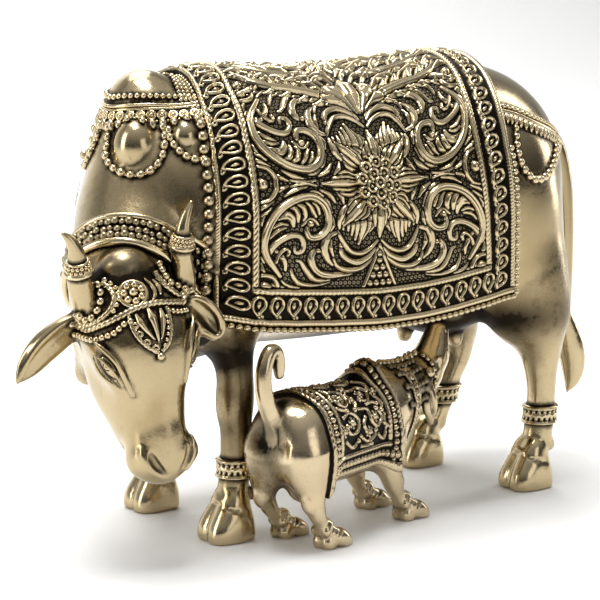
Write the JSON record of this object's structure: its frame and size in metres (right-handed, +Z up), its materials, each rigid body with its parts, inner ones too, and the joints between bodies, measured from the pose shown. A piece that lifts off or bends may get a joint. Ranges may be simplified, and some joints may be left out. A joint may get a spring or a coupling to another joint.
{
  "type": "cow and calf statue",
  "caption": "Standing cow figure in an ornate saddle cloth, head lowered and turned to a calf that drinks at her udder.",
  "frame": {"origin": "middle of the bounding box, at the ground the hooves stand on", "axes": "+Z up; the cow's body lies along X with her front at -X and her tail at +X; her left side, where the calf drinks, faces -Y"},
  "size_m": [0.232, 0.099, 0.1488],
  "materials": {
    "cow": "polished cast brass with a dark patina in the carving",
    "calf": "polished cast brass with a darker, glossier patina"
  },
  "bodies": {
    "root": {"cow": "cow", "calf": "calf"}
  },
  "joints": []
}
